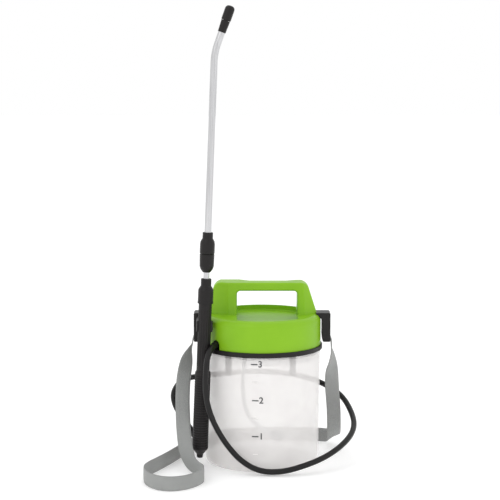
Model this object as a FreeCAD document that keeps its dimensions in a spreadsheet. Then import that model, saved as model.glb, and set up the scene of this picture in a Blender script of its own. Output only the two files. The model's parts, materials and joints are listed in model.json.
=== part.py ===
"""A 3-litre battery sprayer with a shoulder strap: tank, pump lid with its carrying handle, hose and telescopic wand.

Millimetres. The origin is the centre of the tank's underside, +Z is up, the carrying handle runs along X,
and the wand, the hose outlet and the litre scale are on the -Y side.
"""

import FreeCAD, Part

import math
import os
import re

import Sketcher
from FreeCAD import Placement, Rotation, Vector

doc = FreeCAD.newDocument("battery_sprayer")

# ---------------------------------------------------------------- driving dimensions

SIZES = [
    # the tank
    ("tank_radius_low", 80.0, "outer radius at the foot"),
    ("tank_radius_high", 82.5, "outer radius under the lid"),
    ("tank_wall", 2.0, "wall of the blown tank"),
    ("tank_shoulder_low", 158.0, "where the wall starts to turn in"),
    ("tank_shoulder_high", 160.8, "flat under the lid's flange"),
    ("neck_radius", 70.0, "outer radius of the neck"),
    ("neck_top", 177.5, "rim that the seal sits on"),
    ("foot_round", 6.0, "radius of the bottom edge"),
    ("foot_hollow", 1.6, "how far the floor is raised inside the foot ring"),
    # the lid
    ("flange_radius", 85.2, "black flange that shows as a ring"),
    ("flange_low", 161.4, "underside of the flange"),
    ("flange_high", 168.0, "top of the flange, where the cover stands"),
    ("plate_low", 179.5, "underside of the base plate"),
    ("plate_high", 182.0, "top of the base plate"),
    ("base_skirt_radius", 73.0, "outer radius of the skirt round the neck"),
    ("neck_gap", 0.6, "between the neck and the base's skirt"),
    ("seal_width", 3.3, "radial width of the neck seal"),
    ("cover_radius", 82.7, "outer radius of the green cover"),
    ("cover_wall", 2.2, "wall of the cover"),
    ("cover_top", 210.8, "flat top of the cover"),
    ("cover_round", 9.0, "rounded shoulder of the cover"),
    ("recess_radius", 72.0, "front and back ends of the trough in the top"),
    ("recess_floor", 202.8, "floor of the trough"),
    ("window_left", -35.5, "inner face of the battery post"),
    ("window_right", 49.3, "inner face of the switch post"),
    # the handle
    ("handle_top", 255.2, "top of the grip"),
    ("grip_low", 243.6, "underside of the grip"),
    ("grip_half_depth", 12.5, "half the grip's depth"),
    ("post_front", 20.0, "half depth of a post at its foot"),
    ("battery_post_back", 31.0, "back of the battery post at its foot"),
    ("switch_post_back", 24.0, "back of the switch post at its foot"),
    ("window_round", 5.0, "rounded upper corners of the window"),
    ("post_skin", 2.4, "wall of the posts and the grip"),
    ("handle_edge", 2.6, "rounded edges of the handle"),
    ("handle_corner", 12.0, "rounded upper corners of the handle"),
    ("handle_slope_low", 79.5, "half length of the handle at its foot"),
    ("handle_slope_high", 64.0, "half length of the handle at its top"),
    # the strap lugs
    ("lug_outer", 96.2, "outer face of a lug"),
    ("lug_inner", 84.4, "inner face of a lug, clear of the cover"),
    ("lug_top", 212.4, "top of a lug"),
    ("lug_low", 171.4, "underside of a lug"),
    ("lug_width", 27.0, "width of a lug along Y"),
    ("lug_bar", 6.4, "height of the bar that the strap goes round"),
    ("lug_slot", 8.5, "height of the strap slot"),
    ("strap_width", 20.0, "width of the webbing"),
    ("strap_thick", 1.6, "thickness of the webbing"),
    # the wand, along its own axis from its lower tip
    ("wand_lean", 2.25, "degrees that the wand leans towards +X"),
    ("wand_foot_left", -86.9, "X of the wand's lower tip"),
    ("wand_foot_front", -56.0, "Y of the wand's lower tip"),
    ("wand_foot_height", 16.0, "height of the wand's lower tip"),
    ("stem_radius", 9.1, "fluted upper part of the grip"),
    ("stem_bore", 5.0, "bore of the grip"),
    ("sleeve_radius", 11.0, "ribbed sleeve"),
    ("sleeve_low", 14.8, "lower end of the sleeve"),
    ("sleeve_high", 122.5, "upper end of the sleeve"),
    ("stem_high", 219.0, "upper end of the grip's stem"),
    ("collar_low", 217.4, "lower rim of the collar nut"),
    ("collar_high", 251.6, "top of the collar nut"),
    ("collar_radius", 10.5, "collar nut"),
    ("collar_nose", 7.2, "nose of the collar nut"),
    ("inner_tube_radius", 4.1, "sliding inner tube"),
    ("inner_tube_low", 40.0, "lower end of the inner tube"),
    ("inner_tube_high", 500.0, "upper end of the inner tube"),
    ("lock_low", 260.4, "lower end of the twist lock"),
    ("lock_split", 285.8, "joint between the lock's nut and its body"),
    ("lock_high", 315.5, "top of the twist lock"),
    ("lock_radius", 10.1, "twist lock"),
    ("outer_tube_radius", 4.8, "aluminium tube"),
    ("outer_tube_wall", 0.5, "its wall"),
    ("outer_tube_low", 290.3, "lower end of the aluminium tube"),
    ("bend_start", 546.0, "where the tube starts to bend"),
    ("bend_radius", 85.0, "radius of the bend"),
    ("bend_turn", 17.5, "degrees of the bend"),
    ("tube_end_run", 24.0, "straight run after the bend, into the nozzle"),
    ("nozzle_radius", 6.6, "nozzle cap"),
    ("nozzle_foot_radius", 5.4, "lower end of the nozzle's body"),
    ("nozzle_split", 16.6, "joint between the nozzle's body and its cap"),
    ("nozzle_length", 37.4, "length of the nozzle"),
    # hose, pump and batteries
    ("hose_radius", 4.0, "spray hose"),
    ("suction_radius", 3.0, "suction tube"),
    ("cell_radius", 7.25, "AA cell"),
    ("cell_length", 50.5, "AA cell"),
    ("motor_radius", 10.05, "can of the pump motor"),
    ("motor_height", 15.4, "height across its flats"),
    ("motor_length", 25.1, "length of the can"),
    ("pump_radius", 8.4, "pump housing"),
    ("pump_axis_height", 191.2, "height of the shaft"),
    ("pump_axis_back", -10.0, "Y of the shaft"),
]

sheet = doc.addObject("Spreadsheet::Sheet", "sizes")
for row, (alias, value, note) in enumerate(SIZES, start=1):
    sheet.set(f"A{row}", alias)
    sheet.set(f"B{row}", str(value))
    sheet.setAlias(f"B{row}", alias)
    sheet.set(f"C{row}", note)
doc.recompute()


def size(alias):
    return float(sheet.get(alias))


def formula(text):
    """A size written with the sheet's aliases, as FreeCAD wants it."""
    return re.sub(r"[a-z]+(_[a-z]+)+", r"sizes.\g<0>", str(text))


def bind(item, **sizes):
    for name, text in sizes.items():
        item.setExpression(name, formula(text))
    return item


# ---------------------------------------------------------------- ways of making a piece

nodes = []
helpers = {"count": 0}


def piece(item, label, place=None):
    """Marks an object as a finished piece, which gets its own file."""
    item.Label = label
    if place is not None:
        item.Placement = place
    nodes.append(item)
    return item


def fresh(kind):
    """A new object with a plain running name."""
    helpers["count"] += 1
    return doc.addObject(kind, f"shape_{helpers['count']}")


def draw(sketch, corners):
    """A closed outline of straight lines, each corner a pair of sizes measured from the sketch's origin."""
    count = len(corners)
    ring = [Vector(9 * math.cos(2 * math.pi * i / count), 9 * math.sin(2 * math.pi * i / count), 0) for i in range(count)]
    first = sketch.GeometryCount
    for i in range(count):
        sketch.addGeometry(Part.LineSegment(ring[i], ring[(i + 1) % count]))
    for i in range(count):
        sketch.addConstraint(Sketcher.Constraint("Coincident", first + i, 2, first + (i + 1) % count, 1))
    for i, corner in enumerate(corners):
        for kind, text, axis in zip(("DistanceX", "DistanceY"), corner, (-2, -1)):
            if str(text) == "0":
                sketch.addConstraint(Sketcher.Constraint("PointOnObject", first + i, 1, axis))
                continue
            index = sketch.addConstraint(Sketcher.Constraint(kind, -1, 1, first + i, 1, 1.0))
            sketch.setExpression(f"Constraints[{index}]", formula(text))


def sketch_in(body, plane, corners):
    sketch = body.newObject("Sketcher::SketchObject", "outline")
    origin_plane = [f for f in body.Origin.OriginFeatures if f.Role == plane][0]
    sketch.AttachmentSupport = (origin_plane, "")
    sketch.MapMode = "FlatFace"
    draw(sketch, corners)
    return sketch


def revolve_in(body, corners):
    """Turns an outline of (radius, height) corners about the body's own Z axis."""
    sketch = sketch_in(body, "XZ_Plane", corners)
    turned = body.newObject("PartDesign::Revolution", "turned")
    turned.Profile = sketch
    turned.ReferenceAxis = (sketch, ["V_Axis"])
    turned.Angle = 360
    sketch.Visibility = False
    return turned


def pad_in(body, plane, corners, length, midplane=False, reverse=False):
    sketch = sketch_in(body, plane, corners)
    pad = body.newObject("PartDesign::Pad", "pad")
    pad.Profile = sketch
    bind(pad, Length=length)
    pad.Midplane = midplane
    pad.Reversed = reverse
    return pad


def new_body():
    return fresh("PartDesign::Body")


def turned_piece(label, corners, place=None):
    body = new_body()
    revolve_in(body, corners)
    return piece(body, label, place)


def edges_where(item, test):
    """The names of the creased edges whose middle passes the test."""
    doc.recompute()
    found = []
    for i, edge in enumerate(item.Shape.Edges, start=1):
        middle = edge.valueAt((edge.FirstParameter + edge.LastParameter) / 2)
        sides = item.Shape.ancestorsOfType(edge, Part.Face)
        normals = [side.normalAt(*side.Surface.parameter(middle)) for side in sides]
        creased = len(normals) == 2 and math.degrees(normals[0].getAngle(normals[1])) > 15
        if creased and test(edge, middle):
            found.append(f"Edge{i}")
    return found


def round_in(body, feature, radius, test):
    """A fillet on the chosen edges of a body's last feature."""
    names = edges_where(feature, test)
    fillet = body.newObject("PartDesign::Fillet", "rounded")
    fillet.Base = (feature, names)
    bind(fillet, Radius=radius)
    return fillet


def rounded(item, radius, test):
    """A Part fillet on the chosen edges of a boolean result."""
    names = edges_where(item, test)
    fillet = fresh("Part::Fillet")
    fillet.Base = item
    fillet.Edges = [(int(name[4:]), size(radius), size(radius)) for name in names]
    return fillet


def cylinder(radius, height, place=None):
    item = bind(fresh("Part::Cylinder"), Radius=radius, Height=height)
    if place is not None:
        item.Placement = place
    return item


def block(length, width, height, place=None):
    item = bind(fresh("Part::Box"), Length=length, Width=width, Height=height)
    if place is not None:
        item.Placement = place
    return item


def cut(base, tool):
    item = fresh("Part::Cut")
    item.Base = base
    item.Tool = tool
    return item


def fuse(*parts):
    item = fresh("Part::MultiFuse")
    item.Shapes = list(parts)
    item.Refine = True
    return item


def common(*parts):
    item = fresh("Part::MultiCommon")
    item.Shapes = list(parts)
    return item


def at(x, y, z, direction=None):
    """A placement whose own Z axis points along direction."""
    turn = Rotation() if direction is None else Rotation(Vector(0, 0, 1), Vector(*direction))
    return Placement(Vector(x, y, z), turn)


X_AXIS, Y_AXIS = (1, 0, 0), (0, 1, 0)
LEFT, RIGHT = -1, 1

# ---------------------------------------------------------------- tank and neck seal


def make_tank():
    body = new_body()
    inside_low = "tank_radius_low - tank_wall"
    inside_high = "tank_radius_high - tank_wall"
    shell = revolve_in(body, [
        ("tank_radius_low - 12", "0"),
        ("tank_radius_low", "0"),
        ("tank_radius_high", "tank_shoulder_low"),
        ("tank_radius_high - 2", "tank_shoulder_high"),
        ("neck_radius", "tank_shoulder_high"),
        ("neck_radius", "neck_top"),
        ("neck_radius - seal_width", "neck_top"),
        ("neck_radius - seal_width", "tank_shoulder_high - 3"),
        (inside_high, "tank_shoulder_low - 8"),
        (inside_low, "foot_hollow + tank_wall + 3"),
        (inside_low + " - 4", "foot_hollow + tank_wall"),
        ("0", "foot_hollow + tank_wall"),
        ("0", "0"),
        (6, "0"),
        (6.8, "foot_hollow"),
        ("tank_radius_low - 13.5", "foot_hollow"),
    ])
    round_in(body, shell, "foot_round", lambda e, m: abs(m.z) < 0.01 and math.hypot(m.x, m.y) > size("tank_radius_low") - 1)
    return piece(body, "tank")


tank = make_tank()

seal = turned_piece("neck_seal", [
    ("neck_radius - seal_width", "neck_top + 0.1"),
    ("neck_radius", "neck_top + 0.1"),
    ("neck_radius", "plate_low"),
    ("neck_radius - seal_width", "plate_low"),
])

# ---------------------------------------------------------------- lid base: flange, plate and two legs

INLET = (-24.0, -10.0)  # where the suction barb goes through the plate
SCREW_CIRCLE = 62.0
SCREW_ANGLES = [30, 90, 150, 210, 270, 330]
LEG_PLACES = [-47.5, 43.5]
LEG_TOP, LEG_FOOT = 9.8, 8.4
LEG_LOW = 121.0
NOTCH_ANGLE = 219.3  # direction of the hose outlet, in degrees from +X
NOTCH_RADIUS = 6.4
OUTLET_HEIGHT = 174.4
OUTLET_DIRECTION = Vector(-0.35, -0.94, 0).normalize()


def on_circle(radius, angle):
    return radius * math.cos(math.radians(angle)), radius * math.sin(math.radians(angle))


def outlet_at(distance):
    """A point on the hose outlet's line, measured from where it leaves the cover."""
    x, y = on_circle(size("cover_radius"), NOTCH_ANGLE)
    return Vector(x, y, OUTLET_HEIGHT) + OUTLET_DIRECTION * distance


def leg(x):
    """A tapered leg that guards the suction barb when the lid stands on a bench."""
    body = new_body()
    pad_in(body, "XZ_Plane", [
        (x - LEG_TOP / 2, "plate_low + 0.5"),
        (x + LEG_TOP / 2, "plate_low + 0.5"),
        (x + LEG_FOOT / 2, LEG_LOW),
        (x - LEG_FOOT / 2, LEG_LOW),
    ], 12, midplane=True)
    return body


def make_lid_base():
    body = new_body()
    revolve_in(body, [
        ("neck_radius + neck_gap", "flange_low"),
        ("flange_radius - 0.8", "flange_low"),
        ("flange_radius", "flange_low + 0.8"),
        ("flange_radius", "flange_high - 0.6"),
        ("flange_radius - 0.6", "flange_high"),
        ("base_skirt_radius", "flange_high"),
        ("base_skirt_radius", "plate_high"),
        ("0", "plate_high"),
        ("0", "plate_low"),
        ("neck_radius + neck_gap", "plate_low"),
    ])
    bosses = []
    for angle in SCREW_ANGLES:
        x, y = on_circle(SCREW_CIRCLE, angle)
        bosses.append(cylinder("3.4", 2.5, at(x, y, size("plate_high") - 0.01)))
    holes = [cylinder("1.6", 12, at(*on_circle(SCREW_CIRCLE, a), size("plate_low") - 1)) for a in SCREW_ANGLES]
    holes.append(cylinder("3.5", 10, at(INLET[0], INLET[1], size("plate_low") - 2)))
    holes.append(cylinder("2.2", 10, at(28.0, 34.0, size("plate_low") - 2)))
    holes += [cylinder("1.0", 10, at(0, y, size("plate_low") - 2)) for y in (-25.2, 5.2)]
    # the skirt gives way to the hose fitting
    outlet = outlet_at(-9)
    holes.append(cylinder("4.8", 40, at(outlet.x, outlet.y, size("flange_high"))))
    return piece(cut(fuse(body, *[leg(x) for x in LEG_PLACES], *bosses), fuse(*holes)), "lid_base")


make_lid_base()

# ---------------------------------------------------------------- green cover with the carrying handle

POST_FACE_LEFT = -47.5
POST_FACE_RIGHT = 60.5
BACK_DROPS = {"battery_post_back": 6.5, "switch_post_back": 6.0}  # how far a post's back comes forward at its top


def loft_between(low, high, low_corners, high_corners):
    """One outline at the foot and the same outline drawn in at the top."""
    body = new_body()
    bottom = sketch_in(body, "XY_Plane", low_corners)
    bind(bottom, **{".AttachmentOffset.Base.z": low})
    top = sketch_in(body, "XY_Plane", high_corners)
    bind(top, **{".AttachmentOffset.Base.z": high})
    post = body.newObject("PartDesign::AdditiveLoft", "post")
    post.Profile = bottom
    post.Sections = [top]
    post.Ruled = True
    return body


def from_above(skin, left, right, front, left_back, right_back, ridge):
    """The handle's outline from above, drawn in by skin; both posts stand out at the back."""
    return [
        (f"-({left}) + {skin}", -5),
        (POST_FACE_LEFT, f"{skin} - ({front})"),
        (ridge, f"{skin} - ({front})"),
        (f"{right} - {skin}", -5),
        (f"{right} - {skin}", f"{right_back} - 9"),
        (f"{right} - 7", f"{right_back} - {skin}"),
        ("window_right", f"{right_back} - {skin}"),
        ("window_right - 11", f"{front} - {skin}"),
        ("window_left + 15", f"{front} - {skin}"),
        ("window_left", f"{left_back} - {skin}"),
        (f"-({left}) + 7", f"{left_back} - {skin}"),
        (f"-({left}) + {skin}", f"{left_back} - 9"),
    ]


def from_the_front(skin, low):
    """The handle from the front: sloping ends and rounded upper corners."""
    body = new_body()
    slab = pad_in(body, "XZ_Plane", [
        (f"-(handle_slope_low + 1) + {skin}", low),
        (f"handle_slope_low - 1 - {skin}", low),
        (f"handle_slope_high - 1 - {skin}", f"handle_top - {skin}"),
        (f"-(handle_slope_high + 2) + {skin}", f"handle_top - {skin}"),
    ], 90, midplane=True)
    round_in(body, slab, f"handle_corner - {skin}",
             lambda e, m: abs(m.z - slab.Shape.BoundBox.ZMax) < 0.01 and abs(m.x) > 50 and abs(m.y) < 1)
    return body


def window(skin):
    """The opening that the hand goes through."""
    body = new_body()
    slab = pad_in(body, "XZ_Plane", [
        (f"window_left - {skin}", "cover_top - 32"),
        (f"window_right + {skin}", "cover_top - 32"),
        (f"window_right + {skin}", f"grip_low + {skin}"),
        (f"window_left - {skin}", f"grip_low + {skin}"),
    ], 90, midplane=True)
    round_in(body, slab, f"window_round - {skin} / 3",
             lambda e, m: abs(m.z - slab.Shape.BoundBox.ZMax) < 0.01 and abs(m.y) < 1)
    return body


def handle_solid(skin, low):
    """Posts and grip as one solid, drawn in by skin."""
    block_form = loft_between(low, f"handle_top - {skin}", from_above(
        skin, "handle_slope_low + 1", "handle_slope_low - 1", "post_front", "battery_post_back", "switch_post_back",
        POST_FACE_RIGHT,
    ), from_above(
        skin, "handle_slope_high + 2", "handle_slope_high - 1", "grip_half_depth", f"battery_post_back - {BACK_DROPS['battery_post_back']}",
        f"switch_post_back - {BACK_DROPS['switch_post_back']}", POST_FACE_RIGHT - 3,
    ))
    return cut(common(block_form, from_the_front(skin, low)), window(skin))


def handle_form():
    """The whole handle as one solid, with its edges rounded."""

    def is_outer_edge(edge, middle):
        inner_back = middle.y > 1 and (middle.x > 37 or -40 < middle.x < -18)
        return middle.z > size("cover_top") - 3.5 and not inner_back

    return rounded(handle_solid(0, "cover_top - 4"), "handle_edge", is_outer_edge)


def handle_space():
    """The hollow inside the handle, open downwards into the lid."""
    return handle_solid("post_skin", "plate_high + 4")


def lid_form():
    body = new_body()
    dome = revolve_in(body, [
        ("0", "flange_high"),
        ("cover_radius", "flange_high"),
        ("cover_radius", "cover_top"),
        ("0", "cover_top"),
    ])
    round_in(body, dome, "cover_round", lambda e, m: abs(m.z - size("cover_top")) < 0.01 and math.hypot(m.x, m.y) > 80)
    return body


def lid_space():
    body = new_body()
    revolve_in(body, [
        ("0", "flange_high - 1"),
        ("cover_radius - cover_wall", "flange_high - 1"),
        ("cover_radius - cover_wall", "cover_top - cover_round"),
        ("cover_radius - 6", "cover_top - cover_wall"),
        ("recess_radius + cover_wall", "cover_top - cover_wall"),
        ("recess_radius + cover_wall", "recess_floor - cover_wall"),
        ("0", "recess_floor - cover_wall"),
    ])
    return body


def trough():
    """The trough between the posts, under the hand."""
    disc = cylinder("recess_radius", 20, at(0, 0, size("recess_floor")))
    strip = block("window_right - window_left", 200, 30, at(size("window_left"), -100, size("recess_floor") - 1))
    return rounded(common(disc, strip), "cover_wall", lambda e, m: abs(m.z - size("recess_floor")) < 0.01)


def notch():
    """The arched opening in the cover's skirt where the hose comes out."""
    start = outlet_at(-9)
    arch = cylinder(str(NOTCH_RADIUS), 34, at(*start, tuple(OUTLET_DIRECTION)))
    foot = block(2 * NOTCH_RADIUS, 34, 8)
    turn = Rotation(Vector(0, 1, 0), OUTLET_DIRECTION)
    foot.Placement = Placement(start - turn.multVec(Vector(NOTCH_RADIUS, 0, 8)), turn)
    return fuse(arch, foot)


HALF = 60.0  # depth of the blocks that part the handle's front from its back
DOOR_WIDTH, DOOR_LEFT = 25.0, -66.0
DOOR_LOW, DOOR_HIGH = 214.0, 247.0
SWITCH_X, SWITCH_Z = 57.0, 231.0
HANDLE_SCREWS = [(-10.0, 249.4), (26.0, 249.4)]


def half(y):
    return block(240, HALF, 120, at(-120, y, 180))


def back_face(back, height):
    """Y of a post's back and its slope in degrees, at a height."""
    low, drop = size(back), BACK_DROPS[back]
    rise = size("handle_top") - size("cover_top") + 4
    return low - drop * (height - size("cover_top") + 4) / rise, math.degrees(math.atan2(drop, rise))


def on_back(back, x, z):
    """A frame on a post's back: its Y points out of the face, its Z runs up the face."""
    y, slope = back_face(back, z)
    return Placement(Vector(x, y, z), Rotation(Vector(1, 0, 0), slope))


form, space, shell = handle_form(), handle_space(), lid_form()
cover_bosses = []
for angle in SCREW_ANGLES:
    boss_x, boss_y = on_circle(SCREW_CIRCLE, angle)
    cover_bosses.append(cut(
        cylinder("3.4", "recess_floor - cover_wall - plate_high - 2.4", at(boss_x, boss_y, size("plate_high") + 2.5)),
        cylinder("1.2", 14, at(boss_x, boss_y, size("plate_high") + 2)),
    ))
hollow_lid = cut(cut(shell, lid_space()), fuse(trough(), notch()))
grip_bosses = [cylinder("2.8", 21.5, at(x, 10, z, (0, -1, 0))) for x, z in HANDLE_SCREWS]
grip_holes = [cylinder("1.0", 18, at(x, 11, z, (0, -1, 0))) for x, z in HANDLE_SCREWS]
hollow_cover = cut(fuse(hollow_lid, common(form, half(-HALF)), *cover_bosses), space)
piece(cut(fuse(hollow_cover, *grip_bosses), fuse(*grip_holes)), "cover")

# the back of the handle is a separate moulding, screwed to the front from behind; the door and the switch sit in it
HINGE_RADIUS, PIN_RADIUS = 1.2, 0.6
hinge = on_back("battery_post_back", DOOR_LEFT, DOOR_LOW)
hinge = hinge.multiply(Placement(Vector(0, -HINGE_RADIUS, 0), Rotation()))


def on_hinge(x, y, z, along_x=False):
    turn = Rotation(Vector(0, 1, 0), 90) if along_x else Rotation()
    return hinge.multiply(Placement(Vector(x, y, z), turn))


def in_door_frame(length, width, height, x, y, z):
    item = block(length, width, height)
    item.Placement = on_hinge(x, y, z)
    return item


DOOR_GAP = 0.3
door_height = DOOR_HIGH - DOOR_LOW
door_hole = in_door_frame(DOOR_WIDTH, 12, door_height + HINGE_RADIUS + DOOR_GAP, 0, -6, -HINGE_RADIUS - DOOR_GAP)
pin_hole = cylinder(str(PIN_RADIUS + 0.06), DOOR_WIDTH + 3.4, on_hinge(-1.7, 0, 0, along_x=True))
switch_place = on_back("switch_post_back", SWITCH_X, SWITCH_Z)
switch_hole = block(8.2, 12, 14.2)
switch_hole.Placement = switch_place.multiply(Placement(Vector(-4.1, -8, -7.1), Rotation()))
ways_for_screws = [cylinder("1.3", 60, at(x, 40, z, (0, -1, 0))) for x, z in HANDLE_SCREWS]
handle_back = piece(
    cut(common(form, half(0)), fuse(space, shell, door_hole, pin_hole, switch_hole, *ways_for_screws)), "handle_back")


def flat_screw(x, y, z, direction, head_radius, shank_radius, length):
    """A pan-head screw whose head sits at the point and whose shank goes the way of direction."""
    head = cylinder(str(head_radius), 1.8, at(x, y, z, tuple(-c for c in direction)))
    shank = cylinder(str(shank_radius), length, at(x, y, z, direction))
    slot = block(2 * head_radius + 1, 0.7, 0.8, at(-head_radius - 0.5, -0.35, 1.1))
    slot.Placement = head.Placement.multiply(slot.Placement)
    return fuse(cut(head, slot), shank)


piece(fuse(*[
    flat_screw(*on_circle(SCREW_CIRCLE, angle), size("plate_low"), (0, 0, 1), 3.0, 1.2, 12) for angle in SCREW_ANGLES
]), "cover_screws")
piece(fuse(*[
    flat_screw(x, size("grip_half_depth") + 1.35, z, (0, -1, 0), 2.4, 1.0, 11.0) for x, z in HANDLE_SCREWS
]), "handle_screws")

# ---------------------------------------------------------------- battery door, cells and holder


def make_battery_door():
    """The door in the back of the wide post, with its hinge barrel along the lower edge."""
    wall = in_door_frame(DOOR_WIDTH - 2 * DOOR_GAP, 12, door_height - DOOR_GAP, DOOR_GAP, -6, 0)
    panel = cut(common(form, wall), space)
    barrel = cylinder(str(HINGE_RADIUS), DOOR_WIDTH - 2 * DOOR_GAP, on_hinge(DOOR_GAP, 0, 0, along_x=True))
    pins = cylinder(str(PIN_RADIUS), DOOR_WIDTH + 3, on_hinge(-1.5, 0, 0, along_x=True))
    latch = in_door_frame(9, 1.8, 2.6, DOOR_WIDTH / 2 - 4.5, HINGE_RADIUS - 0.6, door_height - 4.2)
    ribs = [in_door_frame(16, 1.4, 1.2, DOOR_WIDTH / 2 - 8, HINGE_RADIUS - 0.6, 14 + 3 * i) for i in range(4)]
    return piece(fuse(panel, barrel, pins, latch, *ribs), "battery_door")


make_battery_door()

CELL_PITCH = 14.7
CELL_MIDDLE = (-52.6, 7.9)
CELL_FOOT = 185.0


def cell_places():
    for side in (LEFT, RIGHT):
        for row in (-1, 1):
            yield CELL_MIDDLE[0] + side * CELL_PITCH / 2, CELL_MIDDLE[1] + row * CELL_PITCH / 2, side * row > 0


def cell(x, y, upright):
    """One AA cell; neighbours stand opposite ways up."""
    can = cylinder("cell_radius", "cell_length - 1.2", at(x, y, CELL_FOOT + (0 if upright else 1.2)))
    button = cylinder("2.7", 1.3, at(x, y, CELL_FOOT + (size("cell_length") - 1.3 if upright else 0)))
    return fuse(can, button)


piece(fuse(*[cell(*place) for place in cell_places()]), "battery_cells")
TRAY_FLOOR = size("plate_high") + 2.4


def make_battery_tray():
    """A holder with a floor and a low wall round the cells."""
    side = 2 * CELL_PITCH + 2.0
    left, front, low = CELL_MIDDLE[0] - side / 2, CELL_MIDDLE[1] - side / 2, size("plate_high")
    outer = block(side, side, 14, at(left, front, low))
    inner = block(side - 2.2, side - 2.2, 20, at(left + 1.1, front + 1.1, TRAY_FLOOR))
    return piece(cut(outer, inner), "battery_tray")


make_battery_tray()
piece(fuse(*[
    fuse(block(9, 24, 0.4, at(x - 4.5, CELL_MIDDLE[1] - 12, TRAY_FLOOR)),
         *[cylinder("3.2", CELL_FOOT - TRAY_FLOOR - 0.2, at(x, CELL_MIDDLE[1] + row * CELL_PITCH / 2, TRAY_FLOOR + 0.2))
           for row in (-1, 1)])
    for x in (CELL_MIDDLE[0] - CELL_PITCH / 2, CELL_MIDDLE[0] + CELL_PITCH / 2)
]), "battery_contacts")

# ---------------------------------------------------------------- power switch


def on_switch(x, y, z):
    return switch_place.multiply(Placement(Vector(x, y, z), Rotation()))


def in_switch_frame(length, width, height, x, y, z):
    item = block(length, width, height)
    item.Placement = on_switch(x, y, z)
    return item


def make_switch():
    rim = in_switch_frame(10.0, 1.2, 17.0, -5.0, 0, -8.5)
    box = in_switch_frame(8.0, 8.0, 14.0, -4.0, -7.6, -7.0)
    well = in_switch_frame(6.4, 9.0, 11.6, -3.2, -5.4, -5.8)
    pins = [in_switch_frame(0.8, 3.2, 3.0, -0.4, -10.6, dz) for dz in (-5.5, 2.5)]
    pivot = cylinder("0.56", 8.0)
    pivot.Placement = on_switch(-4.0, -1.0, 0).multiply(Placement(Vector(), Rotation(Vector(0, 1, 0), 90)))
    piece(cut(fuse(rim, box, *pins), fuse(well, pivot)), "power_switch")


def make_rocker():
    """A rocker with two slightly hollowed halves, standing at its off side, on a cross pin."""
    body = new_body()
    pad_in(body, "YZ_Plane", [
        (-3.4, "0"), (-2.4, -4.6), (2.1, -5.2), (1.6, "0"), (0.7, 5.2), (-2.4, 4.6),
    ], 6.0, midplane=True)
    body.Placement = on_switch(0, 0, 0)
    pin = cylinder("0.5", 7.6)
    pin.Placement = on_switch(-3.8, -1.0, 0).multiply(Placement(Vector(), Rotation(Vector(0, 1, 0), 90)))
    piece(fuse(body, pin), "switch_rocker")


make_switch()
make_rocker()

# ---------------------------------------------------------------- pump and motor on the base plate

SHAFT_Y, SHAFT_Z = size("pump_axis_back"), size("pump_axis_height")
PUMP_LEFT, PUMP_RIGHT = -32.0, -14.0
MOTOR_LEFT = -12.0


def along_x(radius, x, length):
    return cylinder(radius, length, at(x, SHAFT_Y, SHAFT_Z, X_AXIS))


def make_pump():
    foot = block(15, 15, 8, at(PUMP_LEFT, SHAFT_Y - 7.5, size("plate_high")))
    outlet = cylinder("2.4", 12.5, at(PUMP_LEFT + 6, SHAFT_Y, SHAFT_Z, (0, -1, 0)))
    chamber = along_x("6.6", PUMP_LEFT - 1, 12.0)
    shaft_way = along_x("1.3", PUMP_LEFT, 20.0)
    way_out = cylinder("1.4", 20, at(PUMP_LEFT + 6, SHAFT_Y, SHAFT_Z, (0, -1, 0)))
    way_in = cylinder("1.5", 8, at(INLET[0], INLET[1], size("plate_high") - 1))
    piece(cut(fuse(along_x("pump_radius", PUMP_LEFT, 15.0), foot, outlet), fuse(chamber, shaft_way, way_out, way_in)),
          "pump_housing")
    piece(along_x("pump_radius", PUMP_LEFT - 2.6, 2.5), "pump_cover")


def make_rotor():
    """The shaft with its vaned wheel, which spins in the pump."""
    shaft = along_x("1.0", PUMP_LEFT + 1.2, 54.0)
    hub = along_x("2.6", PUMP_LEFT + 1.6, 7.0)
    vanes = []
    for i in range(6):
        vane = block(6.4, 1.1, 3.6)
        turn = Rotation(Vector(1, 0, 0), 60 * i)
        vane.Placement = Placement(Vector(PUMP_LEFT + 1.9, SHAFT_Y, SHAFT_Z) + turn.multVec(Vector(0, -0.55, 2.2)), turn)
        vanes.append(vane)
    return piece(fuse(shaft, hub, *vanes), "pump_rotor")


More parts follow.
